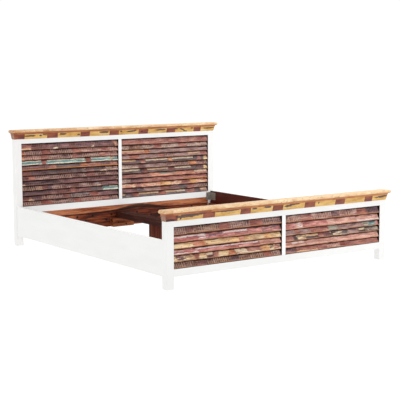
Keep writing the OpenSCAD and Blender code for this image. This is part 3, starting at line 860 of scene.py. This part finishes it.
def stained_timber(name, dark, middle, light, axis, nail_holes=0.0):
    """Sawn hardwood, rubbed with dark stain: streaks along the grain, with open dark pores.

    Reused blocks also have old nail holes, black with iron stain."""
    material, tree, shader = start_material(name, {"Roughness": 0.7, "Specular IOR Level": 0.12})
    place = node(tree, "TexCoord", output="Object")
    # Figure 260 mm by 16 mm and streaks 40 mm by 2 mm; pores are drawn four times their real width
    broad = stretched_noise(tree, place, along(axis, 260, 16), 4, 0.6)
    fine = stretched_noise(tree, place, along(axis, 40, 2), 3, 0.6)
    grain = layered(tree, (broad, 0.65), (fine, 0.35))
    colour = node(tree, "ValToRGB", {"Fac": grain},
                  stops=[(0.34, dark), (0.5, middle), (0.66, light)])
    pores = stretched_noise(tree, place, along(axis, 14, 1.8), 2)
    pores = node(tree, "MapRange", {VALUE: pores, FIRST: 0.6, LAST: 0.7, LAST_GIVES: 0.6}, **SMOOTH)
    colour = node(tree, "Mix", {FACTOR: pores, UNDER: colour, OVER: "1C0D0A"}, MIXED, **COLOURS)
    if nail_holes:
        holes = node(tree, "TexVoronoi", {"Vector": place, "Scale": 1 / HOLE_SPACING})
        holes = node(tree, "MapRange", {VALUE: holes, FIRST: 0.12, LAST: 0.26, FIRST_GIVES: nail_holes,
                                        LAST_GIVES: 0.0}, **SMOOTH)
        colour = node(tree, "Mix", {FACTOR: holes, UNDER: colour, OVER: "0E0705"}, MIXED, **COLOURS)
    finish_material(tree, shader, colour, fine, 0.4, 0.8)
    return material


beam_wood = stained_timber("dark_stained_beam", "200D09", "3C1C15", "582E24", "Y")
leg_wood = stained_timber("dark_stained_leg", "34130E", "5C2A1E", "84442F", "Z")
rest_wood = stained_timber("brown_stained_block", "2A100A", "743A20", "B8764C", "X", nail_holes=0.95)
cleat_wood = stained_timber("brown_stained_cleat", "3E1E16", "6A3626", "8A503A", "Y")
# Plywood behind the louvres: a flat rotary-cut face with a wide, pale figure
backing = stained_timber("brown_stained_plywood", "5A3A28", "7E563C", "9A7052", "Z")


def bare_steel(name, base, tint, rough):
    """Bare rolled or plated steel: grey, with cloudy dull patches and fine rolling lines."""
    material, tree, shader = start_material(name, {"Metallic": 1.0})
    place = node(tree, "TexCoord", output="Object")
    # Dull patches 14 mm across, and rolling lines 3 mm by 0.5 mm
    clouds = stretched_noise(tree, place, (14, 14, 14), 4, 0.6)
    lines = stretched_noise(tree, place, (3, 3, 0.5), 2, 0.5)
    colour = node(tree, "ValToRGB", {"Fac": clouds}, stops=[(0.35, base), (0.65, tint)])
    dull = node(tree, "MapRange", {VALUE: clouds, FIRST: 0.3, LAST: 0.7, FIRST_GIVES: rough - 0.08,
                                   LAST_GIVES: rough + 0.12}, **SMOOTH)
    tree.links.new(dull, shader["Roughness"])
    finish_material(tree, shader, colour, lines, 0.05, 0.5)
    return material


bracket_steel = bare_steel("bare_mild_steel", "968E88", "B8B0A8", 0.5)
zinc = bare_steel("zinc_plated_steel", "8E8C88", "B4B2AC", 0.35)


def dress(name, material, edge_mm):
    """Gives a CAD part its finish and eased edges; its own mesh stays as it is."""
    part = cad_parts[name]
    part.data.materials.clear()
    part.data.materials.append(material)
    weld = part.modifiers.new("join_corners", "WELD")
    weld.merge_threshold = 0.01 * MM
    ease = part.modifiers.new("eased_edges", "BEVEL")
    ease.width = edge_mm * MM
    ease.segments = 3
    ease.limit_method = "ANGLE"
    ease.angle_limit = math.radians(40)


for side in ("left", "right"):
    dress("side_rail_" + side, white_rail, 1.6)
    dress("cleat_" + side, cleat_wood, 1.2)
    for end in ("head", "foot"):
        dress(f"{end}_post_{side}", white_upright, 1.6)
        dress(f"{end}_back_panel_{side}", backing, 0.5)
        dress(f"bracket_{end}_{side}", bracket_steel, 0.8)
for end, lower_rail in (("head", "head_lower_rail"), ("foot", "foot_bottom_rail")):
    dress(end + "_top_rail", white_across, 1.2)
    dress(lower_rail, white_across, 1.2)
    dress(end + "_stile", stile_white_painted_light, 1.6)
    dress("centre_leg_" + end, leg_wood, 1.5)
    dress("beam_rest_" + end, rest_wood, 1.5)
dress("centre_beam", beam_wood, 1.5)
dress("bracket_bolts", zinc, 1.6)
dress("bracket_screws", zinc, 0.3)
dress("cleat_screws", zinc, 0.3)


# Studio

def lay_floor():
    """A white acrylic table, lit from below so that shadows on it stay faint."""
    material, tree, shader = start_material("backlit_white_acrylic", {
        "Roughness": 0.6, "Specular IOR Level": 0.1,
        "Emission Strength": 0.9, "Emission Color": "FFFFFF"})
    haze = stretched_noise(tree, node(tree, "TexCoord", output="Object"), (900, 900, 900), 1)
    colour = node(tree, "ValToRGB", {"Fac": haze}, stops=[(0.3, "686866"), (0.7, "6C6C6A")])
    tree.links.new(colour, shader["Base Color"])
    mesh = bpy.data.meshes.new("studio_floor")
    reach = 14
    count = 8
    lines = spaced(-reach, reach, 2 * reach / count)
    points = [(x, y, 0) for y in lines for x in lines]
    faces = []
    for row in range(count):
        for column in range(count):
            corner = row * (count + 1) + column
            faces.append((corner, corner + 1, corner + count + 2, corner + count + 1))
    mesh.from_pydata(points, [], faces)
    mesh.materials.append(material)
    floor = bpy.data.objects.new("studio_floor", mesh)
    bpy.context.scene.collection.objects.link(floor)


def hang_light(name, place, target, size, power):
    """A round white softbox that faces its target; its size is in metres and its power in watts."""
    lamp = bpy.data.lights.new(name, "AREA")
    lamp.shape = "DISK"
    lamp.size = size
    lamp.energy = power
    light = bpy.data.objects.new(name, lamp)
    light.location = place
    light.rotation_euler = (Vector(target) - Vector(place)).to_track_quat("-Z", "Y").to_euler()
    bpy.context.scene.collection.objects.link(light)


lay_floor()
hang_light("right_softbox", (2.6, -3.9, 1.9), (0.7, -0.8, 0.4), 2.2, 28)
hang_light("head_softbox", (1.5, -1.5, 3.4), (0.3, 1.0, 0.6), 2.0, 31)
hang_light("left_softbox", (-5.5, -1.0, 3.2), (-0.6, 0.0, 0.4), 3.0, 7)
hang_light("top_softbox", (0.0, 0.0, 5.0), (0, 0, 0), 4.0, 25)

# White walls all round, the one behind the headboard the brightest
world = bpy.data.worlds.new("white_studio")
world.use_nodes = True
around = node(world.node_tree, "TexCoord", output="Generated")
towards_head = node(world.node_tree, "SeparateXYZ", {0: around}, "Y")
wall = node(world.node_tree, "MapRange",
            {VALUE: towards_head, FIRST: -1.0, LAST: 0.5, FIRST_GIVES: 0.77, LAST_GIVES: 1.04})
backdrop = world.node_tree.nodes["Background"].inputs
backdrop["Color"].default_value = linear("FFFFFF")
world.node_tree.links.new(wall, backdrop["Strength"])
bpy.context.scene.world = world
bpy.context.scene.view_settings.view_transform = "Standard"
